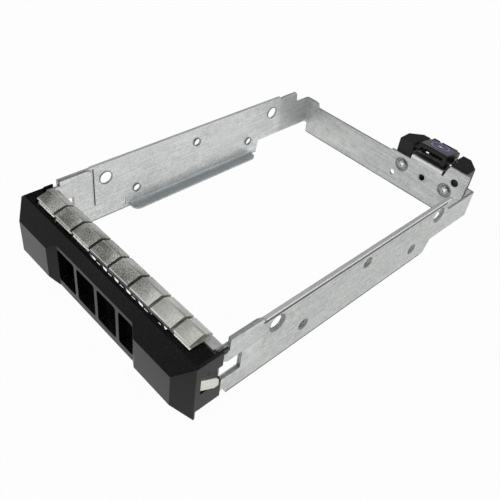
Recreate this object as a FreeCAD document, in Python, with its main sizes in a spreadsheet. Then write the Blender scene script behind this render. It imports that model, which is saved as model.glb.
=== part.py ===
import FreeCAD, Part
import os
import Sketcher

# Hot swap drive caddy for a 3.5 inch drive. The bay is open at the top and the bottom.
# X runs across the caddy, Y from the bezel to the latch, Z up.
# Sizes along Y are taken from the bezel's front face. Each finished piece is then moved along Y,
# so that the origin lies under the middle of the caddy at its lowest level.

# main sizes, in millimetres
bay_half_width = 51.73
bay_depth = 172.5
rail_top = 29.3
drive_hole_pitch = 101.6
lower_hole_pitch = 70.2

doc = FreeCAD.newDocument("drive_caddy")
dims = doc.addObject("Spreadsheet::Sheet", "dims")


class Size:
    """A length with the expression that the document keeps for it."""

    def __init__(self, value, text):
        self.value = float(value)
        self.text = text

    def _join(self, other, sign, swap=False):
        other = size_of(other)
        first, second = (other, self) if swap else (self, other)
        values = {"+": first.value + second.value, "-": first.value - second.value,
                  "*": first.value * second.value}
        return Size(values[sign], "(%s %s %s)" % (first.text, sign, second.text))

    def __add__(self, other):
        return self._join(other, "+")

    def __sub__(self, other):
        return self._join(other, "-")

    def __rsub__(self, other):
        return self._join(other, "-", True)

    def __mul__(self, other):
        return self._join(other, "*")

    def __rmul__(self, other):
        return self._join(other, "*", True)

    def __neg__(self):
        return Size(-self.value, "(0 - %s)" % self.text)


def size_of(item):
    if isinstance(item, Size):
        return item
    return Size(item, "%.6g" % item if item >= 0 else "(0 - %.6g)" % -item)


named_count = 0


def named(alias, value):
    """Store one driving dimension in the sheet and return it."""
    global named_count
    named_count += 1
    cell = "A%d" % named_count
    dims.set(cell, "%.6g" % value)
    dims.setAlias(cell, alias)
    return Size(value, "dims." + alias)


# the share of a bend's radius between its corner and the middle of its curve, along each axis
BEND_MIDDLE = 1 - 0.5 ** 0.5

# sheet metal and the drive bay
sheet = named("sheet_thick", 1.0)
inner_sheet = named("front_plate_thick", 0.8)
bay_half = named("bay_half_width", bay_half_width)
rail_out = bay_half + sheet
bar_front = named("bay_depth", bay_depth)
bar_rear = bar_front + sheet
rail_low = named("rail_low", 1.0)
rail_high = named("rail_top", rail_top)
run_gap = named("running_gap", 0.3)
edge_ease = named("edge_ease", 0.5)
overshoot = named("cut_overshoot", 1.0)

# rails
arm_front = named("rail_arm_front", 7.2)
arm_low = named("arm_low", 4.5)
arm_high = named("arm_high", 24.4)
arm_ease = named("arm_root_ease", 0.75)
rail_front = named("rail_front", 19.9)
window_front = named("window_front", 9.6)
window_rear = named("window_rear", 26.1)
window_low = named("window_low", 10.6)
window_high = named("window_high", 18.9)
window_rise = named("window_rise", 1.4)
window_rise_front = named("window_rise_front", 17.4)
window_rise_rear = named("window_rise_rear", 19.6)
hem_front = named("hem_front", 35.2)
hem_rear = bar_front - named("hem_to_bar", 23.2)
hem_out = named("hem_reach", 0.75)
hem_tall = named("hem_height", 1.15)
hem_round = named("hem_round", 0.45)
shelf_front = named("shelf_front", 54.7)
shelf_rear = bar_front - named("shelf_to_bar", 41.0)
shelf_wide = named("shelf_width", 4.7)
shelf_corner = named("shelf_corner", 3.0)
shelf_bend = named("shelf_bend", 1.6)
rear_low = named("rear_low", 7.9)
right_step = bar_front - named("right_step_to_bar", 31.1)
right_step_run = named("right_step_run", 2.6)
left_step = bar_front - named("left_step_to_bar", 36.9)
left_step_run = named("left_step_run", 0.6)
right_rear_high = named("right_rear_high", 21.3)
left_rear_high = named("left_rear_high", 22.5)
ramp_run = named("ramp_run", 3.0)
ramp_high = named("ramp_height", 2.0)
left_tab_front = bar_front - named("left_tab_front_to_bar", 19.8)
left_tab_rear = bar_front - named("left_tab_rear_to_bar", 10.1)
left_tab_high = named("left_tab_high", 28.7)
left_tab_corner = named("left_tab_corner", 1.2)
left_tab_foot = named("left_tab_foot", 1.6)
slot_front = named("rail_slot_front", 51.7)
slot_long = named("rail_slot_length", 0.8)
slot_low = named("rail_slot_low", 3.3)
slot_high = named("rail_slot_high", 7.3)

# screw holes in the rails
hole_row = named("upper_hole_height", 21.8)
low_row = named("lower_hole_height", 10.0)
first_hole = named("first_hole", 42.5)
hole_pitch = named("drive_hole_pitch", drive_hole_pitch)
low_first = named("lower_first_hole", 58.4)
low_pitch = named("lower_hole_pitch", lower_hole_pitch)
big_bore = named("big_bore_radius", 2.9)
big_dish = named("big_dish_radius", 4.0)
small_bore = named("small_bore_radius", 1.8)
small_dish = named("small_dish_radius", 2.7)

# crossbar
bar_low = named("bar_low", 2.4)
bar_high = named("bar_high", 19.8)
bar_left = named("bar_left_inset", 2.93) - rail_out
bar_right = rail_out - named("bar_right_inset", 3.83)
bar_corner = named("bar_corner", 1.4)
ear_rise = named("bar_ear_rise", 2.7)
ear_end = named("bar_ear_length", 8.93) - rail_out
ear_foot = named("bar_ear_foot", 1.0)
ear_run = named("bar_ear_run", 2.0)
bar_raise = named("bar_raise", 1.2)
bar_raise_run = named("bar_raise_run", 0.9)
tab_high = named("bar_tab_high", 23.6)
tab_rear = bar_rear + named("bar_tab_reach", 6.8)
tab_bend = named("bar_tab_bend", 1.6)
notch_wide = named("bar_notch_width", 1.1)
notch_low = named("bar_notch_low", 21.5)
notch_rise = named("bar_notch_rise", 1.0)
plate_high = named("bar_plate_high", 28.0)
turn_left = bar_right - named("right_turn_reach", 4.4)

# latch housing
case_right = bar_right - named("case_inset", 1.9)
case_left = case_right - named("case_width", 38.5)
case_low = named("case_low", 10.5)
case_high = named("case_high", 28.5)
case_rear = bar_rear + named("case_depth", 12.5)
case_chamfer = named("case_chamfer", 5.5)
well_left = case_left + named("left_wing_width", 8.1)
well_right = case_right - named("right_wing_width", 9.0)
well_step = named("well_step", 1.4)
well_step_right = named("well_step_right", 1.1)
well_slope = named("well_slope", 1.6)
well_narrow = bar_rear + named("well_depth", 6.9)
case_back = named("case_back_thick", 2.4)
case_floor = named("case_floor_thick", 2.0)
floor_short = named("case_floor_inset", 1.5)

# places on the crossbar that follow the housing
raise_start = case_left - named("bar_raise_lead", 3.1)
tab_left = well_left + named("bar_tab_inset", 0.9)
tab_right = well_right - named("bar_tab_inset_right", 2.6)
plate_left = well_right + named("bar_plate_inset", 0.2)
plain_hole_x = case_right - named("plain_hole_inset", 4.1)
plain_hole_z = named("plain_hole_height", 21.2)
plain_hole_r = named("plain_hole_radius", 1.95)
pin_hole_x = case_left + named("pin_hole_inset", 1.4)
pin_hole_z = named("pin_hole_height", 8.8)
pin_hole_r = named("pin_hole_radius", 1.4)

# rivets and clinch nut
rivet_places = [("left", case_left + named("rivet_left_inset", 5.4), named("rivet_left_height", 15.7)),
                ("right", case_right - named("rivet_right_inset", 7.6), named("rivet_right_height", 14.9))]
rivet_r = named("rivet_radius", 1.6)
rivet_head = named("rivet_head_radius", 2.5)
rivet_top = named("rivet_top_radius", 2.0)
rivet_rise = named("rivet_rise", 0.1)
rivet_head_long = named("rivet_head_length", 0.5)
rivet_dish = named("rivet_dish_radius", 3.8)
rivet_seat = named("rivet_dish_depth", 0.7)
rivet_tail_long = named("rivet_tail_length", 0.9)
rivet_dent = named("rivet_dent_radius", 1.3)
rivet_dent_end = named("rivet_dent_end_radius", 0.8)
rivet_dent_long = named("rivet_dent_length", 0.5)
nut_x = well_left + named("nut_inset", 9.7)
nut_z = named("nut_height", 14.8)
nut_bore = named("nut_bore_radius", 1.65)
nut_shank = named("nut_shank_radius", 2.4)
nut_body = named("nut_body_radius", 3.0)
nut_long = named("nut_length", 2.0)

# bezel
bezel_half = rail_out + named("bezel_overhang", 0.97)
face_low = named("face_low", 6.2)
face_high = named("face_high", 21.0)
slope_top = named("slope_top_run", 5.8)
slope_low = named("slope_low_run", 5.3)
bezel_top = named("bezel_top", 27.5)
bezel_low = named("bezel_lowest", 0.0)
lip_deep = named("lip_depth", 0.6)
side_low = named("side_plate_low", 4.0)
side_rear = named("side_plate_rear", 16.5)
side_wall_in = rail_out + named("rail_fit", 0.05)
side_bevel = named("side_bevel", 0.8)
end_start = bezel_half - named("end_chamfer_width", 6.5)
end_deep = named("end_chamfer_depth", 5.25)
recess_wide = named("recess_half_top", 27.7)
recess_floor = named("recess_half_floor", 23.7)
recess_deep = named("recess_depth", 2.5)
recess_low = named("recess_underside", 3.6)
recess_wall = named("recess_wall", 1.2)
wall = named("bezel_wall", 1.6)
slope_wall_low = named("slope_wall_low", 0.9)
slope_wall_high = named("slope_wall_high", 0.7)
hollow_lip = named("hollow_lip", 1.1)
hollow_end = named("hollow_end_inset", 1.0)
end_front_wall = named("end_front_wall", 1.2)
end_wall = named("end_wall", 1.3)
vent_low = named("vent_low", 6.6)
vent_high = named("vent_high", 22.2)
vent_deep = named("vent_depth", 3.5)
vent_corner = named("vent_corner", 1.1)
rib_wide = named("rib_width", 1.7)
rib_mid = named("rib_middle", 1.6)
rib_pitch = named("rib_pitch", 13.05)
cavity_half = named("cavity_half_width", 25.3)
top_rear = named("top_wall_rear", 13.2)
gap_front = named("strip_gap_front", 7.3)
side_window_front = named("side_window_front", 7.4)
side_window_low = named("side_window_low", 12.4)
side_window_high = named("side_window_high", 20.2)
side_tab_front = named("side_tab_front", 14.5)
side_tab_rear = named("side_tab_rear", 18.5)
side_tab_low = named("side_tab_low", 24.9)
side_tab_thick = named("side_tab_thick", 0.6)
boss_x = bezel_half - named("boss_inset", 15.7)
boss_z = named("boss_height", 14.0)
boss_r = named("boss_radius", 3.2)

# screws of the bezel
screw_r = named("screw_radius", 1.25)
screw_gap = named("screw_clearance", 0.15)
screw_long = named("screw_length", 8.0)
screw_head = named("screw_head_radius", 2.4)
screw_top = named("screw_top_radius", 1.8)
screw_head_long = named("screw_head_length", 1.5)
cross_half = named("screw_cross_half", 1.5)
cross_wide = named("screw_cross_half_width", 0.3)
cross_deep = named("screw_cross_depth", 0.8)

# front plate
web_front = named("web_front", 17.2)
web_rear = web_front + inner_sheet
web_low = named("web_low", 3.0)
flange_front = named("flange_front", 8.6)
flange_high = named("flange_high", 27.0)
flange_ends = named("flange_end_front", 14.1)
plate_arm_rear = named("plate_arm_rear", 35.3)
plate_arm_low = named("plate_arm_low", 9.2)
plate_arm_high = rail_high - named("plate_arm_drop", 0.2)
plate_corner_run = named("plate_corner_run", 2.4)
plate_corner_fall = named("plate_corner_fall", 1.0)
gusset_front = flange_ends + named("gusset_lead", 0.7)
gusset_top = named("gusset_top", 2.0)
gusset_foot = named("gusset_foot", 5.0)
air_pitch = named("air_column_pitch", 3.91)
air_row = named("air_row_pitch", 4.51)
air_r = named("air_hole_radius", 2.22)
air_low = named("air_low", 9.9)
air_x = named("air_centre", -0.45)
AIR_COLUMNS = 13

# spring fingers
leaf = named("leaf_thick", 0.3)
strip_half = rail_out - named("strip_inset", 6.33)
strip_base_front = named("strip_base_front", 8.8)
flange_end_x = strip_half - named("flange_end_inset", 1.5)
finger_front = named("finger_front", 8.1)
finger_front_z = named("finger_front_height", 29.2)
ridge_y = named("ridge", 13.5)
ridge_z = named("ridge_height", 30.7)
finger_rear = named("finger_rear", 17.4)
finger_rear_z = named("finger_rear_height", 28.7)
finger_first = named("finger_first_gap", -34.0)
finger_pitch = named("finger_pitch", 11.93)
finger_gap = named("finger_gap", 1.5)
finger_foot = named("finger_foot", 0.35)
FINGERS = 8

# springs at the sides
side_leaf_low = named("side_leaf_low", 13.4)
side_leaf_high = named("side_leaf_high", 18.6)
side_leaf_out = named("side_leaf_reach", 2.6)
side_leaf_rear = named("side_leaf_rear", 13.4)
side_leaf_start = arm_front + named("side_leaf_inset", 0.4)
side_leaf_foot = window_front - named("side_leaf_foot_inset", 0.2)
leaf_corner = named("side_leaf_corner", 1.2)

# lever
lever_left = well_left + named("lever_gap_left", 2.3)
lever_right = well_right - named("lever_gap_right", 3.4)
lever_front = bar_rear - named("lever_overhang", 0.2)
lever_front_z = named("lever_front_height", 31.4)
lever_rear = bar_rear + named("lever_depth", 13.4)
lever_rear_z = named("lever_rear_height", 28.5)
lever_low = named("lever_low", 24.1)
lever_skin = named("lever_skin", 1.8)
lever_lip = named("lever_front_lip", 2.8)
skirt_back = named("lever_skirt_set_back", 5.0)
lever_heel = named("lever_heel", 0.6)
lever_toe = named("lever_toe", 1.4)
lever_round = named("lever_round", 0.6)
finger_well = bar_rear + named("finger_well_depth", 7.1)
finger_well_rise = named("finger_well_rise", 1.2)
pivot_y = bar_rear + named("pivot_depth", 9.8)
pivot_z = named("pivot_height", 24.9)
pin_r = named("pin_radius", 1.0)
pin_fit = named("pin_clearance", 0.06)
pin_reach = named("pin_reach", 3.8)
pin_end_gap = named("pin_end_gap", 0.3)
barrel_r = named("barrel_radius", 2.2)
catch_half = named("catch_half_thick", 1.0)
catch_low = named("catch_low", 14.6)
catch_high = named("catch_high", 17.4)
catch_reach = named("catch_reach", 4.6)
catch_side = named("catch_side_gap", 2.4)
catch_toe = named("catch_toe", 0.4)
catch_nose = named("catch_nose", 0.8)
catch_face = named("catch_face", 1.4)
knuckle_r = named("knuckle_radius", 1.1)
knuckle_drop = named("knuckle_drop", 0.9)
knuckle_in = named("knuckle_inset", 0.4)
knuckle_short = named("knuckle_short", 3.2)
knuckle_gap = named("knuckle_gap", 1.8)
knuckle_long = named("knuckle_long", 8.4)

# spring of the lever
wire_r = named("spring_wire_radius", 0.28)
coil_r = named("spring_coil_radius", 1.75)
coil_pitch = named("spring_pitch", 0.6)
coil_turns = named("spring_turns", 2)
spring_leg = named("spring_leg", 1.7)
spring_gap = named("spring_gap", 0.1)
hook_in = named("spring_hook_in", 1.2)
hook_out = named("spring_hook_out", 1.5)
hook_hole_in = named("hook_hole_in", 0.9)
hook_hole_long = named("hook_hole_length", 1.7)
hook_hole_out = named("hook_hole_out", 1.6)

# mark on the lever
mark_r = named("mark_radius", 4.65)
mark_line = named("mark_line", 0.6)
mark_dot = named("mark_dot_radius", 1.3)
mark_thick = named("mark_thick", 0.12)
mark_y = bar_rear + named("mark_depth", 6.8)

whole_long = lever_rear + knuckle_r
ROOT_AXES = {"XY_Plane": 1, "YZ_Plane": 1, "XZ_Plane": -1}
TURNS = {"x": (FreeCAD.Vector(0, 1, 0), 90), "-x": (FreeCAD.Vector(0, 1, 0), -90),
         "y": (FreeCAD.Vector(1, 0, 0), -90), "z": None}
SIDES = ((-1, "left"), (1, "right"))


def bind(obj, prop, size):
    obj.setExpression(prop, size_of(size).text)


def plate(name, role, corners, low, high):
    """A body padded from one closed outline on an origin plane, between two levels along its normal."""
    body = doc.addObject("PartDesign::Body", name)
    sketch = body.newObject("Sketcher::SketchObject", name + "_outline")
    plane = [item for item in body.Origin.OriginFeatures if item.Role == role][0]
    sketch.AttachmentSupport = [(plane, "")]
    sketch.MapMode = "FlatFace"
    level = low if ROOT_AXES[role] > 0 else -high
    bind(sketch, "AttachmentOffset.Base.z", level)
    spots = [(size_of(u), size_of(v)) for u, v in corners]
    count = len(spots)
    for index in range(count):
        a, b = spots[index], spots[(index + 1) % count]
        sketch.addGeometry(Part.LineSegment(FreeCAD.Vector(a[0].value, a[1].value, 0),
                                            FreeCAD.Vector(b[0].value, b[1].value, 0)), False)
    for index in range(count):
        sketch.addConstraint(Sketcher.Constraint("Coincident", index, 2, (index + 1) % count, 1))
    for index, (u, v) in enumerate(spots):
        for kind, size in (("DistanceX", u), ("DistanceY", v)):
            number = sketch.addConstraint(Sketcher.Constraint(kind, -1, 1, index, 1, size.value))
            sketch.setExpression("Constraints[%d]" % number, size.text)
    pad = body.newObject("PartDesign::Pad", name + "_pad")
    pad.Profile = sketch
    bind(pad, "Length", size_of(high) - low)
    body.Tip = pad
    return body


def rounded(body, name, radius, chosen):
    """Round the edges of a padded body that the test picks by their ends."""
    doc.recompute()
    source = body.Tip
    picks = []
    for number, edge in enumerate(source.Shape.Edges):
        if len(edge.Vertexes) == 2 and chosen(edge.Vertexes[0].Point, edge.Vertexes[1].Point):
            picks.append("Edge%d" % (number + 1))
    if not picks:
        raise ValueError("no edge to round for " + name)
    fillet = body.newObject("PartDesign::Fillet", name)
    fillet.Base = (source, picks)
    bind(fillet, "Radius", radius)
    body.Tip = fillet


def seat(obj, at, turn=None):
    if turn:
        obj.Placement = FreeCAD.Placement(FreeCAD.Vector(0, 0, 0), FreeCAD.Rotation(*turn))
    for axis, size in zip("xyz", at):
        bind(obj, "Placement.Base." + axis, size)


def box(name, low, high):
    item = doc.addObject("Part::Box", name)
    for prop, start, end in zip(("Length", "Width", "Height"), low, high):
        bind(item, prop, size_of(end) - start)
    seat(item, low)
    return item


def rod(name, radius, length, at, axis):
    item = doc.addObject("Part::Cylinder", name)
    bind(item, "Radius", radius)
    bind(item, "Height", length)
    seat(item, at, TURNS[axis])
    return item


def taper(name, first, last, length, at, axis):
    item = doc.addObject("Part::Cone", name)
    bind(item, "Radius1", first)
    bind(item, "Radius2", last)
    bind(item, "Height", length)
    seat(item, at, TURNS[axis])
    return item


def join(name, items):
    item = doc.addObject("Part::MultiFuse", name)
    item.Shapes = items
    item.Refine = True
    return item


def shared(name, items):
    item = doc.addObject("Part::MultiCommon", name)
    item.Shapes = items
    return item


def minus(name, base, tools):
    item = doc.addObject("Part::Cut", name)
    item.Base = base
    item.Tool = tools[0] if len(tools) == 1 else join(name + "_tools", tools)
    item.Refine = True
    return item


nodes = []


def node(label, items):
    """Keep finished solids under one name, moved along Y to the middle of the caddy."""
    piece = doc.addObject("Part::Compound", label)
    piece.Links = items
    bind(piece, "Placement.Base.y", -(whole_long * 0.5))
    nodes.append(piece)


def close_to(a, b):
    return abs(a - b) < run_gap.value * 0.1


def ordered(side, low, high):
    """Two levels across the caddy, given for the right side and mirrored for the left one."""
    return (low, high) if side > 0 else (-high, -low)


def mirrored(side, corners):
    """An outline given for the right side, mirrored and turned round for the left one."""
    return corners if side > 0 else [(-u, v) for u, v in reversed([(size_of(u), v) for u, v in corners])]


def rail_holes(side, name):
    """Dished screw holes of one rail, wide at its outer face."""
    rows = [(first_hole + hole_pitch * step, hole_row, big_bore, big_dish) for step in (0, 1)]
    rows += [(first_hole + hole_pitch * 0.5, hole_row, small_bore, small_dish)]
    rows += [(low_first + low_pitch * step, low_row, small_bore, small_dish) for step in (0, 1)]
    tools = []
    for index, (y, z, bore, dish) in enumerate(rows):
        axis = "x" if side > 0 else "-x"
        tools.append(rod("%s_bore_%d" % (name, index), bore, sheet * 4, (side * (bay_half - sheet), y, z),
                         axis))
        tools.append(taper("%s_dish_%d" % (name, index), bore, dish, sheet * 0.5,
                           (side * (bay_half + sheet * 0.5), y, z), axis))
    return tools


def window_corners():
    return [(window_front, window_low), (window_rear, window_low), (window_rear, window_high),
            (window_rise_rear, window_high), (window_rise_front, window_high + window_rise),
            (window_front, window_high + window_rise)]


def rail(side, name, rear_corners, cuts):
    """One rail: its web, the hem along its upper edge and the shelf along its lower edge."""
    outline = [(rail_front + arm_ease, rail_low), (rail_front - arm_ease, arm_low), (arm_front, arm_low),
               (arm_front, arm_high), (rail_front, arm_high), (rail_front, rail_high)] + rear_corners
    low, high = ordered(side, bay_half, rail_out)
    web = plate(name + "_web", "YZ_Plane", outline, low, high)
    hem_low = rail_high - hem_tall
    hem_end = rail_out + hem_out
    hem = plate(name + "_hem", "XZ_Plane", mirrored(side, [(bay_half, hem_low), (hem_end, hem_low),
                                                          (hem_end, rail_high), (bay_half, rail_high)]),
                hem_front, hem_rear)
    rounded(hem, name + "_hem_round", hem_round,
            lambda a, b: (close_to(abs(a.x), hem_end.value) and close_to(a.x, b.x)
                          and not close_to(a.y, b.y)))
    inner = bay_half - shelf_wide
    shelf_high = rail_low + sheet
    shelf = plate(name + "_shelf", "XY_Plane",
                  mirrored(side, [(inner, shelf_front), (rail_out, shelf_front),
                                                              (rail_out, shelf_rear), (inner, shelf_rear)]),
                  rail_low, shelf_high)
    rounded(shelf, name + "_shelf_round", shelf_corner,
            lambda a, b: close_to(abs(a.x), inner.value) and close_to(a.x, b.x) and close_to(a.y, b.y))
    bend = plate(name + "_bend", "XZ_Plane",
                 mirrored(side, [(bay_half, shelf_high), (bay_half, shelf_high + shelf_bend),
                                 (bay_half - shelf_bend * BEND_MIDDLE,
                                  shelf_high + shelf_bend * BEND_MIDDLE),
                                 (bay_half - shelf_bend, shelf_high)]), shelf_front, shelf_rear)
    window = plate(name + "_window", "YZ_Plane", window_corners(), low - overshoot, high + overshoot)
    return minus(name + "_shape", join(name + "_whole", [web, hem, shelf, bend]),
                 [window] + rail_holes(side, name) + cuts)


# right rail, with its rear end turned in behind the crossbar
right_corners = [(hem_rear, rail_high), (hem_rear + edge_ease, right_rear_high + ramp_high),
                 (hem_rear + ramp_run, right_rear_high), (bar_rear + sheet, right_rear_high),
                 (bar_rear + sheet, rear_low), (right_step + right_step_run, rear_low),
                 (right_step, rail_low)]
right_trim = plate("right_rail_trim", "XY_Plane",
                   [(rail_out - sheet * 0.6, bar_rear + sheet),
                    (rail_out + overshoot, bar_rear + sheet * 0.4 - overshoot),
                    (rail_out + overshoot, bar_rear + sheet + overshoot),
                    (rail_out - sheet * 0.6, bar_rear + sheet + overshoot)],
                   rear_low - overshoot, right_rear_high + overshoot)
right_turn = box("right_rail_turn", (turn_left, bar_rear, rear_low),
                 (bay_half, bar_rear + sheet, right_rear_high))
right_web = rail(1, "right_rail", right_corners, [right_trim])
node("right_rail", [join("right_rail_turned", [right_web, right_turn])])

# left rail, up to the fold that leads into the crossbar
fold_front = bar_front - sheet
left_corners = [(hem_rear, rail_high), (hem_rear + edge_ease, left_tab_high - edge_ease),
                (left_tab_front, left_tab_high), (left_tab_rear - left_tab_corner, left_tab_high),
                (left_tab_rear, left_tab_high - left_tab_corner),
                (left_tab_rear + left_tab_foot * 0.5, left_rear_high + edge_ease),
                (left_tab_rear + left_tab_foot, left_rear_high), (fold_front, left_rear_high),
                (fold_front, rear_low),
                (left_step + left_step_run, rear_low), (left_step, rail_low)]
rail_slot = box("left_rail_slot", (-rail_out - overshoot, slot_front, slot_low),
                (-bay_half + overshoot, slot_front + slot_long, slot_high))
node("left_rail", [rail(-1, "left_rail", left_corners, [rail_slot])])

# crossbar with the fold at its left end and the bent tab under the lever
bar_outline = [
    (-bay_half, rear_low), (bar_left, rear_low), (bar_left, bar_low), (bar_right, bar_low),
    (bar_right, plate_high),
    (plate_left, plate_high), (tab_right + notch_wide, notch_low + notch_rise),
    (tab_right + notch_wide, notch_low),
    (tab_right, notch_low), (tab_right, tab_high), (tab_left, tab_high), (tab_left, bar_high + bar_raise),
    (raise_start + bar_raise_run, bar_high + bar_raise), (raise_start, bar_high),
    (ear_end + edge_ease, bar_high),
    (ear_end, bar_high + ear_foot), (ear_end - edge_ease, bar_high + ear_rise - edge_ease),
    (ear_end - ear_run, bar_high + ear_rise), (-bay_half, left_rear_high)]
bar = plate("crossbar_plate", "XZ_Plane", bar_outline, bar_front, bar_rear)
rounded(bar, "crossbar_round", bar_corner,
        lambda a, b: close_to(a.x, b.x) and close_to(a.z, b.z)
        and (close_to(a.x, bar_right.value)
             or (close_to(a.x, bar_left.value) and close_to(a.z, bar_low.value))))
bend_out = [(bar_front, tab_high - tab_bend),
            (bar_front + tab_bend * BEND_MIDDLE, tab_high - tab_bend * BEND_MIDDLE),
            (bar_front + tab_bend, tab_high)]
bend_in = tab_bend - sheet
bar_tab = plate("crossbar_tab", "YZ_Plane",
                [(bar_front, notch_low), (bar_rear, notch_low), (bar_rear, tab_high - tab_bend),
                 (bar_rear + bend_in, tab_high - sheet), (tab_rear, tab_high - sheet), (tab_rear, tab_high)]
                + bend_out[::-1], tab_left, tab_right)
tab_trim = plate("crossbar_tab_trim", "YZ_Plane",
                 [(bar_front - overshoot, tab_high - tab_bend)] + bend_out
                 + [(bar_front + tab_bend, tab_high + overshoot),
                    (bar_front - overshoot, tab_high + overshoot)],
                 tab_left, tab_right)
fold = plate("crossbar_fold", "XY_Plane",
             [(-rail_out, fold_front), (-bay_half, fold_front), (-bay_half, bar_front),
              (-bay_half + sheet, bar_front),
              (-bay_half + sheet, bar_rear), (-rail_out + sheet, bar_rear),
              (-rail_out + sheet * BEND_MIDDLE, bar_rear - sheet * BEND_MIDDLE),
              (-rail_out, bar_rear - sheet)],
             rear_low, left_rear_high)
behind = bar_front - overshoot
bar_hole_long = sheet + overshoot * 2
bar_cuts = [rod("plain_hole", plain_hole_r, bar_hole_long, (plain_hole_x, behind, plain_hole_z), "y"),
            rod("pin_hole", pin_hole_r, bar_hole_long, (pin_hole_x, behind, pin_hole_z), "y"),
            rod("nut_hole", nut_shank, bar_hole_long, (nut_x, behind, nut_z), "y"), tab_trim]
for side, x, z in rivet_places:
    bar_cuts.append(rod("rivet_hole_" + side, rivet_r, bar_hole_long, (x, behind, z), "y"))
    bar_cuts.append(taper("rivet_dish_" + side, rivet_dish, rivet_head, rivet_seat, (x, bar_front, z), "y"))
node("crossbar", [minus("crossbar_shape", join("crossbar_whole", [bar, bar_tab, fold]), bar_cuts)])

# rivets that hold the latch housing, in the dishes of the crossbar
rivets = []
for side, x, z in rivet_places:
    seat_y = bar_front + rivet_seat
    top_y = bar_front - rivet_rise
    tail_y = bar_rear + case_back
    shank = rod("rivet_shank_" + side, rivet_r, tail_y + rivet_tail_long - seat_y, (x, seat_y, z), "y")
    head = taper("rivet_head_" + side, rivet_top, rivet_head, rivet_head_long, (x, top_y, z), "y")
    rim = rod("rivet_rim_" + side, rivet_head, seat_y - top_y - rivet_head_long,
              (x, top_y + rivet_head_long, z), "y")
    tail = taper("rivet_tail_" + side, rivet_head, rivet_r, rivet_tail_long, (x, tail_y, z), "y")
    dent = taper("rivet_dent_" + side, rivet_dent, rivet_dent_end, rivet_dent_long,
                 (x, top_y - rivet_rise, z), "y")
    rivets.append(minus("rivet_" + side, join("rivet_whole_" + side, [shank, head, rim, tail]), [dent]))
node("latch_rivets", rivets)

# clinch nut behind the crossbar
nut = join("nut_whole", [rod("nut_shank", nut_shank, sheet, (nut_x, bar_front, nut_z), "y"),
                         rod("nut_body", nut_body, nut_long, (nut_x, bar_rear, nut_z), "y")])
thread = rod("nut_thread", nut_bore, sheet + nut_long + overshoot * 2, (nut_x, behind, nut_z), "y")
node("clinch_nut", [minus("nut_shape", nut, [thread])])

# bezel: a hull with sloped front edges and cut ends
bezel_open_rear = side_rear + overshoot
bezel_half_plan = [(end_start, 0), (bezel_half, end_deep), (bezel_half, side_rear)]
bezel_plan = [(recess_floor, recess_deep), (recess_wide, 0)] + bezel_half_plan
bezel_plan = mirrored(-1, bezel_plan) + bezel_plan
bezel_side = [(0, face_low), (0, face_high), (slope_top, bezel_top), (side_rear, bezel_top),
              (side_rear, side_low),
              (slope_low + lip_deep, side_low), (slope_low + lip_deep, bezel_low), (slope_low, bezel_low)]
bevel_side = bezel_half - side_bevel
bezel_front = [(bezel_half, bezel_low - overshoot), (bezel_half, bezel_top - side_bevel),
               (bevel_side, bezel_top),
               (bevel_side, bezel_top + overshoot)]
hull = shared("bezel_hull", [
    plate("bezel_plan", "XY_Plane", bezel_plan, bezel_low - overshoot, bezel_top + overshoot),
    plate("bezel_side", "YZ_Plane", bezel_side, -bezel_half - overshoot, bezel_half + overshoot),
    plate("bezel_front", "XZ_Plane", bezel_front + mirrored(-1, bezel_front), -overshoot, bezel_open_rear)])
roof = bezel_top - wall
lobe_section = [(wall, face_low + slope_wall_low), (wall, face_high - slope_wall_high),
                (slope_top + slope_wall_high, roof), (bezel_open_rear, roof),
                (bezel_open_rear, bezel_low - overshoot),
                (slope_low + lip_deep, bezel_low - overshoot),
                (slope_low + lip_deep, bezel_low + hollow_lip)]
lobe_in = recess_wide - recess_wall
lobe_plan = [(lobe_in, bezel_open_rear), (lobe_in, 0), (end_start - hollow_end, end_front_wall),
             (side_wall_in, end_deep + end_wall), (side_wall_in, bezel_open_rear)]
bezel_cuts = [
    box("bezel_side_windows", (-bezel_half - overshoot, side_window_front, side_window_low),
        (bezel_half + overshoot, bezel_open_rear, side_window_high)),
    box("bezel_top_cut", (-side_wall_in, top_rear, roof - overshoot),
        (side_wall_in, bezel_open_rear, bezel_top + overshoot)),
    box("bezel_strip_gap", (-strip_half - run_gap, gap_front, roof - overshoot),
        (strip_half + run_gap, bezel_open_rear, bezel_top + overshoot)),
    box("bezel_under_cut", (-recess_floor - recess_wall, -overshoot, bezel_low - overshoot),
        (recess_floor + recess_wall, bezel_open_rear, recess_low)),
    box("bezel_middle_cut", (-cavity_half, recess_deep + vent_deep, vent_low),
        (cavity_half, bezel_open_rear, roof))]
rib_places = [rib_mid + rib_pitch * step for step in (-1, 0, 1)]
vent_left = [-recess_floor] + [place + rib_wide * 0.5 for place in rib_places]
vent_right = [place - rib_wide * 0.5 for place in rib_places] + [recess_floor]
for index, (low, high) in enumerate(zip(vent_left, vent_right)):
    vent = plate("vent_%d" % index, "XZ_Plane",
                 [(low, vent_low), (high, vent_low), (high, vent_high), (low, vent_high)],
                 -overshoot, recess_deep + vent_deep + overshoot)
    rounded(vent, "vent_round_%d" % index, vent_corner,
            lambda a, b: close_to(a.x, b.x) and close_to(a.z, b.z))
    bezel_cuts.append(vent)
bezel_added = []
pilots = []
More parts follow.
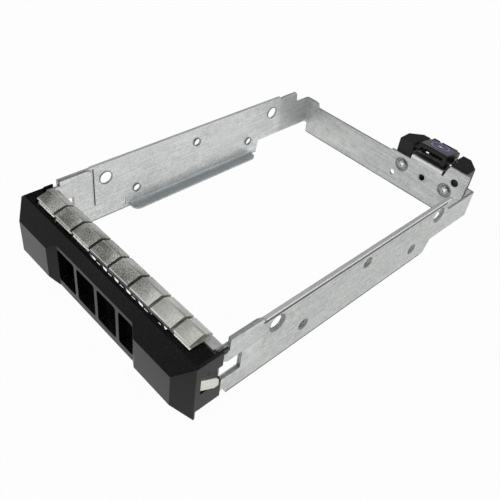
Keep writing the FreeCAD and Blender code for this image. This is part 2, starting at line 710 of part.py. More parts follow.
for side, name in SIDES:
    low, high = ordered(side, lobe_in - overshoot, side_wall_in + overshoot)
    bezel_cuts.append(shared("bezel_hollow_" + name, [
        plate("hollow_plan_" + name, "XY_Plane", mirrored(side, lobe_plan), bezel_low - overshoot,
              bezel_top + overshoot),
        plate("hollow_side_" + name, "YZ_Plane", lobe_section, low, high)]))
    low, high = ordered(side, side_wall_in, side_wall_in + side_tab_thick)
    bezel_added.append(box("side_tab_" + name, (low, side_tab_front, side_tab_low),
                           (high, side_tab_rear, bezel_top)))
    bezel_added.append(rod("boss_" + name, boss_r, web_front - wall * 0.5,
                           (side * boss_x, wall * 0.5, boss_z), "y"))
    pilots.append(rod("pilot_" + name, screw_r, screw_long, (side * boss_x, web_front - screw_long, boss_z),
                      "y"))
bezel_open = minus("bezel_open", hull, bezel_cuts)
node("bezel", [minus("bezel_shape", join("bezel_whole", [bezel_open] + bezel_added), pilots)])

# screws from behind the front plate into the bezel's bosses
screws = []
for side, name in SIDES:
    x = side * boss_x
    shaft = rod("screw_shaft_" + name, screw_r, screw_long + inner_sheet,
                (x, web_front - screw_long, boss_z), "y")
    head = taper("screw_head_" + name, screw_head, screw_top, screw_head_long, (x, web_rear, boss_z), "y")
    head_y = web_rear + screw_head_long
    cross = [box("screw_cross_%s_%s" % (name, way), (x - half_x, head_y - cross_deep, boss_z - half_z),
                 (x + half_x, head_y + overshoot, boss_z + half_z))
             for way, half_x, half_z in (("level", cross_half, cross_wide),
                                         ("upright", cross_wide, cross_half))]
    screws.append(minus("screw_" + name, join("screw_whole_" + name, [shaft, head]), cross))
node("bezel_screws", screws)

# front plate: a folded bracket behind the bezel, with arms inside the rails and hexagonal air holes
plate_in = bay_half - inner_sheet
web = box("plate_web", (-plate_in, web_front, web_low), (plate_in, web_rear, flange_high))
flange_corners = [(flange_end_x, flange_front), (flange_end_x, flange_ends), (plate_in, flange_ends),
                  (plate_in, web_front)]
flange = plate("plate_flange", "XY_Plane", flange_corners + mirrored(-1, flange_corners),
               flange_high - inner_sheet,
               flange_high)
arms = []
arm_outline = [(web_front, plate_arm_low), (plate_arm_rear, plate_arm_low),
               (plate_arm_rear, plate_arm_high - plate_corner_fall),
               (plate_arm_rear - plate_corner_run, plate_arm_high),
               (rail_front + edge_ease, plate_arm_high), (rail_front + edge_ease, flange_high - run_gap),
               (rail_front, flange_high), (gusset_front, flange_high),
               (gusset_front, flange_high - gusset_top),
               (web_front, flange_high - gusset_foot)]
air_cuts = []
for side, name in SIDES:
    low, high = ordered(side, plate_in, bay_half)
    arms.append(plate("plate_arm_" + name, "YZ_Plane", arm_outline, low, high))
    air_cuts.append(rod("screw_clear_" + name, screw_r + screw_gap, inner_sheet + overshoot * 2,
                        (side * boss_x, web_front - overshoot, boss_z), "y"))
for column in range(AIR_COLUMNS):
    dropped = column % 2
    for row in range(3 + dropped):
        hole = doc.addObject("Part::Prism", "air_%d_%d" % (column, row))
        hole.Polygon = 6
        bind(hole, "Circumradius", air_r)
        bind(hole, "Height", inner_sheet + overshoot * 2)
        seat(hole, (air_x + air_pitch * (column - AIR_COLUMNS // 2), web_front - overshoot,
                    air_low + air_row * (row - 0.5 * dropped)), TURNS["y"])
        air_cuts.append(hole)
arm_windows = plate("plate_windows", "YZ_Plane", window_corners(), -bay_half - overshoot,
                    bay_half + overshoot)
node("front_plate", [join("front_plate_shape", [
    minus("front_plate_arms", join("plate_arms", arms), [arm_windows]),
    minus("front_plate_web", join("plate_face", [web, flange]), air_cuts)])])

# strip of spring fingers on the front plate's flange
base_high = flange_high + leaf
strip_profile = [
    (strip_base_front, flange_high), (finger_rear + leaf, flange_high), (finger_rear + leaf, finger_rear_z),
    (ridge_y, ridge_z), (finger_front, finger_front_z), (finger_front, finger_front_z - leaf),
    (ridge_y, ridge_z - leaf), (finger_rear, finger_rear_z - leaf), (finger_rear, base_high),
    (strip_base_front, base_high)]
strip_body = plate("finger_strip_body", "YZ_Plane", strip_profile, -strip_half, strip_half)
slits = [box("finger_slit_%d" % index,
             (finger_first + finger_pitch * index - finger_gap * 0.5, finger_front - overshoot,
              base_high + finger_foot),
             (finger_first + finger_pitch * index + finger_gap * 0.5, finger_rear + leaf + overshoot,
              ridge_z + overshoot))
         for index in range(FINGERS - 1)]
node("emi_finger_strip", [minus("finger_strip_shape", strip_body, slits)])

# flared leaf springs in the bezel's side windows
leaf_plan = [(rail_out, side_leaf_foot), (rail_out, side_leaf_start), (rail_out + leaf, side_leaf_start),
             (rail_out + leaf + side_leaf_out, side_leaf_rear), (rail_out + side_leaf_out, side_leaf_rear),
             (rail_out + leaf, side_leaf_foot)]
leaf_face = [(arm_front, side_leaf_low), (side_leaf_rear - leaf_corner, side_leaf_low),
             (side_leaf_rear, side_leaf_low + leaf_corner), (side_leaf_rear, side_leaf_high - leaf_corner),
             (side_leaf_rear - leaf_corner, side_leaf_high), (arm_front, side_leaf_high)]
for side, name in SIDES:
    low, high = ordered(side, rail_out, rail_out + leaf + side_leaf_out)
    node(name + "_side_spring", [shared(name + "_leaf_shape", [
        plate(name + "_leaf_plan", "XY_Plane", mirrored(side, leaf_plan), side_leaf_low, side_leaf_high),
        plate(name + "_leaf_face", "YZ_Plane", leaf_face, low, high)])])

# latch housing behind the crossbar: two wings, a back plate and a floor
left_wing = [(case_left, bar_rear), (well_left, bar_rear), (well_left, well_narrow),
             (well_left + well_step, well_narrow + well_slope), (well_left + well_step, case_rear),
             (case_left + case_chamfer, case_rear), (case_left, case_rear - case_chamfer)]
right_wing = [(case_right, bar_rear), (case_right, case_rear - case_chamfer),
              (case_right - case_chamfer, case_rear),
              (well_right - well_step_right, case_rear),
              (well_right - well_step_right, well_narrow + well_slope),
              (well_right, well_narrow), (well_right, bar_rear)]
wings = []
for name, corners in (("left_wing", left_wing), ("right_wing", right_wing)):
    wing = plate(name, "XY_Plane", corners, case_low, case_high)
    rounded(wing, name + "_round", edge_ease,
            lambda a, b: close_to(a.z, case_high.value) and close_to(b.z, case_high.value)
            and not (close_to(a.y, bar_rear.value) and close_to(b.y, bar_rear.value)))
    wings.append(wing)
back = box("case_back", (well_left, bar_rear, case_low),
           (well_right, bar_rear + case_back, tab_high - tab_bend))
floor = box("case_floor", (well_left, bar_rear, case_low),
            (well_right, case_rear - floor_short, case_low + case_floor))
pin_left = well_left - pin_reach
pin_right = well_right + pin_reach
hook_y = pivot_y + spring_leg
hook_z = pivot_z + coil_r
case_cuts = [rod("case_pin_bore", pin_r + pin_fit, pin_right - pin_left + pin_end_gap * 2,
                 (pin_left - pin_end_gap, pivot_y, pivot_z), "x"),
             rod("case_nut_bore", nut_body + run_gap, case_back + overshoot * 2,
                 (nut_x, bar_rear - overshoot, nut_z), "y"),
             rod("case_hook_hole", wire_r + pin_fit, hook_hole_out,
                 (lever_right + hook_hole_out, hook_y, hook_z), "x"),
             box("case_turn_relief", (turn_left - run_gap, bar_rear - overshoot, case_low - overshoot),
                 (case_right + overshoot, bar_rear + sheet + run_gap, right_rear_high + run_gap))]
for side, x, z in rivet_places:
    case_cuts.append(rod("case_rivet_" + side, rivet_r, case_back + overshoot * 2,
                         (x, bar_rear - overshoot, z), "y"))
    case_cuts.append(rod("case_tail_" + side, rivet_head + run_gap, case_rear - bar_rear,
                         (x, bar_rear + case_back, z), "y"))
node("latch_housing", [minus("case_shape", join("case_whole", wings + [back, floor]), case_cuts)])

# hinge pin
node("lever_pin", [rod("pin_shape", pin_r, pin_right - pin_left, (pin_left, pivot_y, pivot_z), "x")])

# lever: a hooded pull whose left skirt starts behind its front lip, a barrel on the pin,
# and a catch below it that points rearward
lever_top = plate("lever_top", "YZ_Plane",
                  [(lever_front, lever_front_z), (lever_rear, lever_rear_z),
                   (lever_rear, lever_low + lever_heel),
                   (lever_rear - lever_heel, lever_low), (lever_front + lever_toe, lever_low),
                   (lever_front, lever_low + lever_toe)], lever_left, lever_right)
rounded(lever_top, "lever_top_round", lever_round,
        lambda a, b: a.z > lever_rear_z.value - run_gap.value and b.z > lever_rear_z.value - run_gap.value)
lever_well = plate("lever_well", "YZ_Plane",
                   [(lever_front - overshoot, lever_front_z - lever_skin),
                    (finger_well, lever_rear_z - lever_skin + finger_well_rise),
                    (finger_well, lever_low - overshoot),
                    (lever_front - overshoot, lever_low - overshoot)],
                   lever_left + lever_skin, lever_right - lever_skin)
catch = plate("lever_catch", "YZ_Plane",
              [(pivot_y - catch_half, pivot_z), (pivot_y - catch_half, catch_low),
               (pivot_y + catch_half, catch_low),
               (pivot_y + catch_reach - catch_nose, catch_low + catch_toe),
               (pivot_y + catch_reach, catch_low + catch_face), (pivot_y + catch_half, catch_high),
               (pivot_y + catch_half, pivot_z)], lever_left + catch_side, lever_right - catch_side)
knuckle_z = lever_rear_z - knuckle_drop
short_x = lever_left + knuckle_in
long_x = short_x + knuckle_short + knuckle_gap
knuckles = [rod("knuckle_short", knuckle_r, knuckle_short, (short_x, lever_rear, knuckle_z), "x"),
            rod("knuckle_long", knuckle_r, knuckle_long, (long_x, lever_rear, knuckle_z), "x")]
barrel = rod("lever_barrel", barrel_r, lever_right - lever_left, (lever_left, pivot_y, pivot_z), "x")
lever_cuts = [rod("lever_hook_hole", wire_r + pin_fit, hook_hole_long,
                  (lever_right - hook_hole_in, hook_y, hook_z), "x"),
              rod("lever_bore", pin_r + pin_fit, lever_right - lever_left + overshoot * 2,
                  (lever_left - overshoot, pivot_y, pivot_z), "x")]
lever_side = box("lever_side_opening",
                 (lever_left - overshoot, lever_front - overshoot, lever_low - overshoot),
                 (lever_left + lever_skin + run_gap, lever_front + skirt_back, lever_front_z - lever_lip))
hood = minus("lever_hood", lever_top, [lever_well, lever_side])
node("release_lever", [minus("lever_shape", join("lever_whole", [hood, barrel, catch] + knuckles),
                             lever_cuts)])

# return spring round the pin, hooked into the lever and into the right wing
helix = doc.addObject("Part::Helix", "spring_path")
coil_long = coil_pitch * coil_turns
bind(helix, "Radius", coil_r)
bind(helix, "Pitch", coil_pitch)
bind(helix, "Height", coil_long)
section = doc.addObject("Part::Circle", "spring_section")
bind(section, "Radius", wire_r)
seat(section, (coil_r, 0, 0), (FreeCAD.Vector(1, 0, 0), 90))
coil = doc.addObject("Part::Sweep", "spring_coil")
coil.Sections = [section]
coil.Spine = (helix, ["Edge1"])
coil.Solid = True
coil.Frenet = True
spring = join("spring_shape", [
    coil, rod("spring_leg_in", wire_r, spring_leg, (coil_r, -spring_leg, 0), "y"),
    rod("spring_leg_out", wire_r, spring_leg, (coil_r, -spring_leg, coil_long), "y"),
    rod("spring_hook_in", wire_r, hook_in, (coil_r, -spring_leg, -hook_in), "z"),
    rod("spring_hook_out", wire_r, hook_out, (coil_r, -spring_leg, coil_long), "z")])
seat(spring, (lever_right + wire_r + spring_gap, pivot_y, pivot_z), (FreeCAD.Vector(1, 0, 1), 180))
node("lever_spring", [spring])

# printed ring and dot on the lever's sloped top
ring = minus("mark_ring", rod("mark_outer", mark_r, mark_thick, (0, 0, 0), "z"),
             [rod("mark_inner", mark_r - mark_line, mark_thick * 3, (0, 0, -mark_thick), "z")])
mark = doc.addObject("Part::Compound", "mark_shape")
mark.Links = [ring, rod("mark_dot", mark_dot, mark_thick, (0, 0, 0), "z")]
fall = (lever_front_z.value - lever_rear_z.value) / (lever_rear.value - lever_front.value)
slope = FreeCAD.Rotation(FreeCAD.Vector(0, 0, 1), FreeCAD.Vector(0, fall, 1))
seat(mark, ((lever_left + lever_right) * 0.5, mark_y, lever_front_z - (mark_y - lever_front) * fall),
     (slope,))
node("lever_ring_mark", [mark])

doc.recompute()
for obj in doc.Objects:
    for word in ("Invalid", "Error"):
        if word in obj.State:
            raise RuntimeError("%s is %s" % (obj.Label, word))
for obj in nodes:
    if obj.Shape.isNull() or not obj.Shape.isValid():
        raise RuntimeError("%s has no valid shape" % obj.Label)
os.makedirs("parts", exist_ok=True)
for obj in nodes:
    limits = obj.Shape.BoundBox
    print("%-20s solids %d volume %.1f box %s" % (obj.Label, len(obj.Shape.Solids), obj.Shape.Volume, [
        round(number, 2) for number in (limits.XMin, limits.XMax, limits.YMin, limits.YMax, limits.ZMin,
                                        limits.ZMax)]))
    obj.Shape.exportStep("parts/%s.step" % obj.Label)
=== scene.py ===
import bpy
import math
from collections import namedtuple
from mathutils import Matrix, Vector
from mathutils.bvhtree import BVHTree


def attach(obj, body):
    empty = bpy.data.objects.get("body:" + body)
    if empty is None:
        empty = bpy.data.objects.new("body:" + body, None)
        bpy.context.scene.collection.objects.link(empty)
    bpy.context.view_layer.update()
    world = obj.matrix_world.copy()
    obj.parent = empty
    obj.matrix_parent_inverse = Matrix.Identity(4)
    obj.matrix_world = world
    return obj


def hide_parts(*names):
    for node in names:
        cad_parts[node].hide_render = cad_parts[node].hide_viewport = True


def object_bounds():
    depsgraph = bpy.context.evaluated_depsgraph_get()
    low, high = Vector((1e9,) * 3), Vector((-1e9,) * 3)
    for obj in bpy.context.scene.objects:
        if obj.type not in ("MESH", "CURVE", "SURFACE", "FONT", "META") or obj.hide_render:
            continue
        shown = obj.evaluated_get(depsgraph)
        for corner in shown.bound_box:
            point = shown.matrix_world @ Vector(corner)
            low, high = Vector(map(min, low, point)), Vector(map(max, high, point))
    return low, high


bl_info = {
    "name": "Hot Swap Drive Caddy",
    "version": (1, 0, 0),
    "blender": (4, 5, 0),
    "location": "3D View > Sidebar > Caddy",
    "description": "Dresses the drive caddy's solids with detailed pieces, finishes and a stage",
    "category": "Object",
}

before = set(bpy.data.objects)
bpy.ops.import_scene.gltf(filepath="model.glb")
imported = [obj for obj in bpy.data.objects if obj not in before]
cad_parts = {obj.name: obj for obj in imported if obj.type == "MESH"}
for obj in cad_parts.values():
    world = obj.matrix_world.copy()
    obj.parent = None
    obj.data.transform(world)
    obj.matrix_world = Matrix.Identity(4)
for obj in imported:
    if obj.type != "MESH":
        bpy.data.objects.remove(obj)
CAD_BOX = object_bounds()
MM = 0.001
BLACK, WHITE = (0.006, 0.006, 0.006), (1.0, 1.0, 1.0)


class CaddySizes(bpy.types.PropertyGroup):
    """Sizes of the rounded edges and of the fingers"""
    sheet_bevel: bpy.props.FloatProperty(
        name="Sheet Edge", description="Rounding of the cut sheet edges", default=0.00026, min=0.0,
        unit="LENGTH", precision=5)
    moulded_bevel: bpy.props.FloatProperty(
        name="Moulded Edge", description="Rounding of the moulded edges", default=0.00035, min=0.0,
        unit="LENGTH", precision=5)
    latch_bevel: bpy.props.FloatProperty(
        name="Latch Edge", description="Rounding of the latch and lever edges", default=0.0002,
        min=0.0, unit="LENGTH", precision=5)
    finger_thick: bpy.props.FloatProperty(
        name="Finger Thickness", description="Thickness of the spring fingers", default=0.0003,
        min=0.0001, unit="LENGTH", precision=5)


class CaddyFinish(bpy.types.PropertyGroup):
    """Tones of the caddy's materials"""
    sheet_light: bpy.props.FloatVectorProperty(
        name="Sheet Light", description="Lighter tone of the galvanised sheet", subtype="COLOR",
        size=3, min=0.0, max=1.0, default=(0.735, 0.75, 0.73))
    sheet_dark: bpy.props.FloatVectorProperty(
        name="Sheet Dark", description="Darker tone of the galvanised sheet", subtype="COLOR",
        size=3, min=0.0, max=1.0, default=(0.405, 0.425, 0.42))
    edge_tone: bpy.props.FloatVectorProperty(
        name="Cut Edge Tone", description="Tone of the sheet's sheared edges", subtype="COLOR",
        size=3, min=0.0, max=1.0, default=(0.5, 0.51, 0.505))
    # Dark tone of the sheet's rounded edges: painted shade.
    edge_shade_tone: bpy.props.FloatVectorProperty(
        name="Edge Line Tone", description="Tone of the sheet's rounded edges", subtype="COLOR",
        size=3, min=0.0, max=1.0, default=(0.1, 0.105, 0.105))
    # Dark tone of the pressed rims of the holes: painted shade in the dishes.
    dish_shade_tone: bpy.props.FloatVectorProperty(
        name="Pressed Dish Tone", description="Tone of the pressed rims of the holes",
        subtype="COLOR", size=3, min=0.0, max=1.0, default=(0.24, 0.25, 0.245))
    collar_tone: bpy.props.FloatVectorProperty(
        name="Drawn Collar Tone", description="Tone of the drawn collars behind the holes",
        subtype="COLOR", size=3, min=0.0, max=1.0, default=(0.28, 0.29, 0.285))
    finger_tone: bpy.props.FloatVectorProperty(
        name="Finger Tone", description="Tone of the plated spring fingers", subtype="COLOR",
        size=3, min=0.0, max=1.0, default=(0.68, 0.68, 0.6))
    leaf_tone: bpy.props.FloatVectorProperty(
        name="Side Spring Tone", description="Tone of the side springs", subtype="COLOR", size=3,
        min=0.0, max=1.0, default=(0.74, 0.74, 0.685))
    bezel_tone: bpy.props.FloatVectorProperty(
        name="Bezel Tone", description="Colour of the moulded bezel", subtype="COLOR", size=3,
        min=0.0, max=1.0, default=(0.0032, 0.0033, 0.0033))
    # Paler tone of the bezel's edges: a painted highlight along them.
    bezel_edge_highlight_tone: bpy.props.FloatVectorProperty(
        name="Moulded Edge Highlight Tone", description="Colour of the bezel's edges, a painted highlight",
        subtype="COLOR", size=3, min=0.0, max=1.0, default=(0.02, 0.0205, 0.02))
    latch_tone: bpy.props.FloatVectorProperty(
        name="Latch Tone", description="Colour of the latch and the lever", subtype="COLOR",
        size=3, min=0.0, max=1.0, default=(0.0065, 0.0066, 0.0068))
    ink_tone: bpy.props.FloatVectorProperty(
        name="Mark Tone", description="Colour of the printed ring", subtype="COLOR", size=3,
        min=0.0, max=1.0, default=(0.3, 0.26, 0.92))


class CaddyStage(bpy.types.PropertyGroup):
    """Levels of the lights, the surround and the floor"""
    key_power: bpy.props.FloatProperty(
        name="Overhead Power", description="Power of the overhead soft light", default=1.4,
        min=0.0, unit="POWER")
    fill_power: bpy.props.FloatProperty(
        name="Side Power", description="Power of the soft light from the front left", default=3.6,
        min=0.0, unit="POWER")
    rim_power: bpy.props.FloatProperty(
        name="Back Power", description="Power of the soft light from the back right", default=2.2,
        min=0.0, unit="POWER")
    sky_level: bpy.props.FloatProperty(
        name="Surround Level", description="Strength of the soft surround", default=1.0, min=0.0)
    floor_tone: bpy.props.FloatProperty(
        name="Floor Tone", description="Whiteness of the floor", default=0.9, min=0.0, max=1.0,
        subtype="FACTOR")


def place(tree, kind, inputs=None, **settings):
    """Add a node, set its own settings, then its unlinked inputs or links into it."""
    node = tree.nodes.new(kind)
    for name, value in settings.items():
        setattr(node, name, value)
    for key, value in (inputs or {}).items():
        if isinstance(value, bpy.types.NodeSocket):
            tree.links.new(value, node.inputs[key])
        else:
            node.inputs[key].default_value = value
    return node


def ramp(tree, source, stops, interpolation="LINEAR"):
    """A colour ramp over a value, given as (position, grey level) stops."""
    node = place(tree, "ShaderNodeValToRGB", {"Fac": source})
    node.color_ramp.interpolation = interpolation
    points = node.color_ramp.elements
    while len(points) < len(stops):
        points.new(0.5)
    for point, (position, level) in zip(points, stops):
        point.position = position
        point.color = (level, level, level, 1.0)
    return node.outputs["Color"]


def math_node(tree, operation, first, second, clamp=False):
    """One step of arithmetic on two values."""
    return place(tree, "ShaderNodeMath", {0: first, 1: second}, operation=operation,
                 use_clamp=clamp).outputs[0]


def vector_node(tree, operation, *inputs):
    """One step of arithmetic on vectors."""
    return place(tree, "ShaderNodeVectorMath", dict(enumerate(inputs)),
                 operation=operation).outputs[0]


def rgba(tone):
    """A tone with its alpha, for a colour socket. A link passes as it is."""
    return tone if isinstance(tone, bpy.types.NodeSocket) else (*tone, 1.0)


def mix_colour(tree, factor, first, second):
    """The first colour where the factor is 0 and the second where it is 1."""
    return place(tree, "ShaderNodeMix", {0: factor, 6: rgba(first), 7: rgba(second)},
                 data_type="RGBA").outputs[2]


def noise(tree, vector, scale, detail=2.0, roughness=0.5):
    """Smooth noise over a vector."""
    return place(tree, "ShaderNodeTexNoise", {"Vector": vector, "Scale": scale, "Detail": detail,
                                              "Roughness": roughness}).outputs["Fac"]


def cell_tone(tree, vector, scale):
    """A value of its own for each cell of a Voronoi pattern."""
    cells = place(tree, "ShaderNodeTexVoronoi", {"Vector": vector, "Scale": scale})
    return place(tree, "ShaderNodeSeparateColor", {"Color": cells.outputs["Color"]}).outputs[0]


def new_group(name, vectors, values, outputs):
    """An empty shader node group, with its inner input and output sockets.

    It takes named vectors and named values with their defaults, and gives named values."""
    group = bpy.data.node_groups.new(name, "ShaderNodeTree")
    for label in vectors:
        group.interface.new_socket(label, in_out="INPUT", socket_type="NodeSocketVector")
    for label, default in values.items():
        socket = group.interface.new_socket(label, in_out="INPUT", socket_type="NodeSocketFloat")
        socket.default_value = default
    for label in outputs:
        group.interface.new_socket(label, in_out="OUTPUT", socket_type="NodeSocketFloat")
    given, result = group.nodes.new("NodeGroupInput"), group.nodes.new("NodeGroupOutput")
    return group, given.outputs, result.inputs


def sheet_grain():
    """Rolling streaks, crystal patches and fine speckle of galvanised sheet."""
    group, given, result = new_group(
        "Galvanised Grain", ["Vector"], {"Streaks": 0.5, "Patches": 0.5, "Speckle": 0.5},
        ["Tone", "Roughness", "Height"])
    rolled = place(group, "ShaderNodeMapping", {"Vector": given["Vector"],
                                                "Scale": (60.0, 60.0, 1500.0)})
    streak = noise(group, rolled.outputs[0], 1.0, 4.0, 0.6)
    patch = cell_tone(group, given["Vector"], 520.0)
    speckle = noise(group, given["Vector"], 1300.0, 3.0, 0.7)
    cloud = noise(group, given["Vector"], 45.0, 3.0)
    total = 0.5
    for source, amount in ((streak, "Streaks"), (patch, "Patches"), (speckle, "Speckle"),
                           (cloud, "Patches")):
        centred = math_node(group, "SUBTRACT", source, 0.5)
        weighted = math_node(group, "MULTIPLY", centred, given[amount])
        total = math_node(group, "ADD", weighted, total)
    tone = place(group, "ShaderNodeClamp", {"Value": total})
    group.links.new(tone.outputs[0], result["Tone"])
    group.links.new(streak, result["Roughness"])
    group.links.new(math_node(group, "ADD", streak, speckle), result["Height"])
    return group


def mould_grain():
    """Fine spark-eroded texture of moulded plastic."""
    group, given, result = new_group("Moulded Grain", ["Vector"], {"Scale": 2600.0},
                                     ["Tone", "Height"])
    fine = noise(group, given["Vector"], given["Scale"], 2.0, 0.55)
    pits = place(group, "ShaderNodeTexVoronoi", {"Vector": given["Vector"],
                                                 "Scale": given["Scale"]}, feature="SMOOTH_F1")
    wide = noise(group, given["Vector"], 60.0)
    group.links.new(math_node(group, "MULTIPLY", fine, wide), result["Tone"])
    group.links.new(math_node(group, "ADD", fine, pits.outputs["Distance"]), result["Height"])
    return group


def edge_wear():
    """Mask of rubbed outer edges, broken up by noise."""
    group, given, result = new_group("Edge Wear", ["Vector"], {"Amount": 0.5}, ["Mask"])
    edge = place(group, "ShaderNodeNewGeometry").outputs["Pointiness"]
    sharp = ramp(group, edge, [(0.52, 0.0), (0.62, 1.0)])
    broken = ramp(group, noise(group, given["Vector"], 260.0, 4.0), [(0.35, 0.2), (0.62, 1.0)])
    mask = math_node(group, "MULTIPLY", sharp, broken)
    group.links.new(math_node(group, "MULTIPLY", mask, given["Amount"], clamp=True),
                    result["Mask"])
    return group


def handling_scuffs():
    """Thin handling scratches that run along the sheet."""
    group, given, result = new_group("Handling Scuffs", ["Vector"], {"Amount": 0.3}, ["Mask"])
    scratches = []
    for turn, scale in ((0.06, (30.0, 40.0, 2600.0)), (-0.35, (45.0, 60.0, 3100.0))):
        turned = place(group, "ShaderNodeMapping", {"Vector": given["Vector"],
                                                    "Rotation": (turn, 0.0, 0.0), "Scale": scale})
        scratches.append(ramp(group, noise(group, turned.outputs[0], 1.0),
                              [(0.66, 0.0), (0.72, 1.0)]))
    both = math_node(group, "MAXIMUM", *scratches)
    group.links.new(math_node(group, "MULTIPLY", both, given["Amount"], clamp=True),
                    result["Mask"])
    return group


def place_mask():
    """Mask of a box in the caddy's own coordinates, with soft sides."""
    group, given, result = new_group("Place Mask", ["Vector", "Centre", "Half"],
                                     {"Soft": 0.2 * MM}, ["Mask"])
    offset = vector_node(group, "SUBTRACT", given["Vector"], given["Centre"])
    past = vector_node(group, "SUBTRACT", vector_node(group, "ABSOLUTE", offset), given["Half"])
    parts = place(group, "ShaderNodeSeparateXYZ", {"Vector": past}).outputs
    most = math_node(group, "MAXIMUM", parts["X"], parts["Y"])
    most = math_node(group, "MAXIMUM", most, parts["Z"])
    share = math_node(group, "DIVIDE", most, given["Soft"])
    group.links.new(math_node(group, "SUBTRACT", 0.5, share, clamp=True), result["Mask"])
    return group


GROUPS = {}


def shared(tree, maker, inputs):
    """The outputs of a shared group, which its maker builds when it is first asked for."""
    if maker not in GROUPS:
        GROUPS[maker] = maker()
    return place(tree, "ShaderNodeGroup", inputs, node_tree=GROUPS[maker]).outputs


def new_material(name):
    """A new material, its node tree, its shader and the object's own coordinates."""
    material = bpy.data.materials.new(name)
    material.use_nodes = True
    tree = material.node_tree
    coords = tree.nodes.new("ShaderNodeTexCoord").outputs["Object"]
    return material, tree, tree.nodes["Principled BSDF"], coords


def scaled(tone, factor, lift=0.0):
    """A lighter or darker tone."""
    return tuple(min(1.0, value * factor + lift) for value in tone)


def roughen(tree, shader, source, low, high):
    """Roughness that follows a value, from low where it is 0 to high where it is 1."""
    level = place(tree, "ShaderNodeMapRange", {"Value": source, "To Min": low, "To Max": high})
    tree.links.new(level.outputs[0], shader.inputs["Roughness"])


def bump(tree, shader, height, strength, distance):
    """Fine relief that follows a height, its distance in millimetres."""
    node = place(tree, "ShaderNodeBump", {"Height": height, "Strength": strength,
                                          "Distance": distance * MM})
    tree.links.new(node.outputs["Normal"], shader.inputs["Normal"])


# A box in the caddy's own coordinates that is painted over: its centre, half size and softness
# in millimetres, the tone, and how much of the tone is laid on.
Mark = namedtuple("Mark", "centre half soft tone strength")


def paint_marks(tree, coords, colour, marks):
    """Lay marks over a colour, each over the ones before it."""
    for mark in marks:
        spot = shared(tree, place_mask, {"Vector": coords,
                                         "Centre": [value * MM for value in mark.centre],
                                         "Half": [value * MM for value in mark.half],
                                         "Soft": mark.soft * MM})
        share = math_node(tree, "MULTIPLY", spot["Mask"], mark.strength)
        colour = mix_colour(tree, share, colour, mark.tone)
    return colour


def finish_sheet(name, light, dark, marks=()):
    """Galvanised sheet: streaks, mottle, scuffs, rubbed edges, and marks at given places."""
    material, tree, shader, coords = new_material(name)
    grain = shared(tree, sheet_grain, {"Vector": coords, "Streaks": 2.0, "Patches": 0.3,
                                       "Speckle": 2.2})
    colour = mix_colour(tree, grain["Tone"], dark, light)
    scuffs = shared(tree, handling_scuffs, {"Vector": coords, "Amount": 0.3})
    colour = mix_colour(tree, scuffs["Mask"], colour, (0.84, 0.85, 0.84))
    wear = shared(tree, edge_wear, {"Vector": coords, "Amount": 0.6})
    colour = mix_colour(tree, wear["Mask"], colour, (0.85, 0.86, 0.85))
    tree.links.new(paint_marks(tree, coords, colour, marks), shader.inputs["Base Color"])
    roughen(tree, shader, grain["Roughness"], 0.34, 0.5)
    shader.inputs["Metallic"].default_value = 0.6
    bump(tree, shader, grain["Height"], strength=0.35, distance=0.05)
    return material


def finish_worked(name, tone):
    """Worked parts of the sheet: its sheared and rounded edges, pressed dishes and collars."""
    material, tree, shader, coords = new_material(name)
    grain = shared(tree, sheet_grain, {"Vector": coords, "Streaks": 1.0, "Patches": 0.2,
                                       "Speckle": 0.9})
    colour = mix_colour(tree, grain["Tone"], scaled(tone, 0.45), scaled(tone, 1.7))
    tree.links.new(colour, shader.inputs["Base Color"])
    roughen(tree, shader, grain["Roughness"], 0.3, 0.6)
    shader.inputs["Metallic"].default_value = 0.6
    bump(tree, shader, grain["Height"], strength=0.3, distance=0.05)
    return material


def finish_moulded(name, tone, scale, rough=0.22, depth=0.16, specular=0.17):
    """Black moulding with a fine spark-eroded texture and paler flecks."""
    material, tree, shader, coords = new_material(name)
    grain = shared(tree, mould_grain, {"Vector": coords, "Scale": scale})
    colour = mix_colour(tree, grain["Tone"], tone, scaled(tone, 2.1, 0.0015))
    fleck = ramp(tree, cell_tone(tree, coords, scale * 1.3), [(0.86, 0.0), (1.0, 1.0)])
    tree.links.new(mix_colour(tree, fleck, colour, (0.022, 0.023, 0.022)),
                   shader.inputs["Base Color"])
    roughen(tree, shader, grain["Tone"], rough + 0.06, rough - 0.06)
    shader.inputs["Specular IOR Level"].default_value = specular
    bump(tree, shader, grain["Height"], depth, distance=0.06)
    return material


def finish_spring(name, tone, scale, rough, depth, contrast, marks=()):
    """Plated spring sheet with a sandblast grain, and marks at given places."""
    material, tree, shader, coords = new_material(name)
    grain = shared(tree, mould_grain, {"Vector": coords, "Scale": scale})
    blast = ramp(tree, grain["Tone"], [(0.16, 0.0), (0.36, 1.0)])
    colour = mix_colour(tree, blast, *(scaled(tone, factor) for factor in contrast))
    tree.links.new(paint_marks(tree, coords, colour, marks), shader.inputs["Base Color"])
    roughen(tree, shader, grain["Height"], *rough)
    shader.inputs["Metallic"].default_value = 0.95
    bump(tree, shader, grain["Height"], depth, distance=0.05)
    return material


def finish_turned(name, tone, rough=0.3, marks=()):
    """Plated steel with faint turning marks, and marks at given places."""
    material, tree, shader, coords = new_material(name)
    grain = shared(tree, sheet_grain, {"Vector": coords, "Streaks": 0.6, "Patches": 0.1,
                                       "Speckle": 0.5})
    colour = mix_colour(tree, grain["Tone"], scaled(tone, 0.7), tone)
    tree.links.new(paint_marks(tree, coords, colour, marks), shader.inputs["Base Color"])
    roughen(tree, shader, grain["Roughness"], rough - 0.06, rough + 0.12)
    shader.inputs["Metallic"].default_value = 1.0
    bump(tree, shader, grain["Height"], strength=0.1, distance=0.03)
    return material


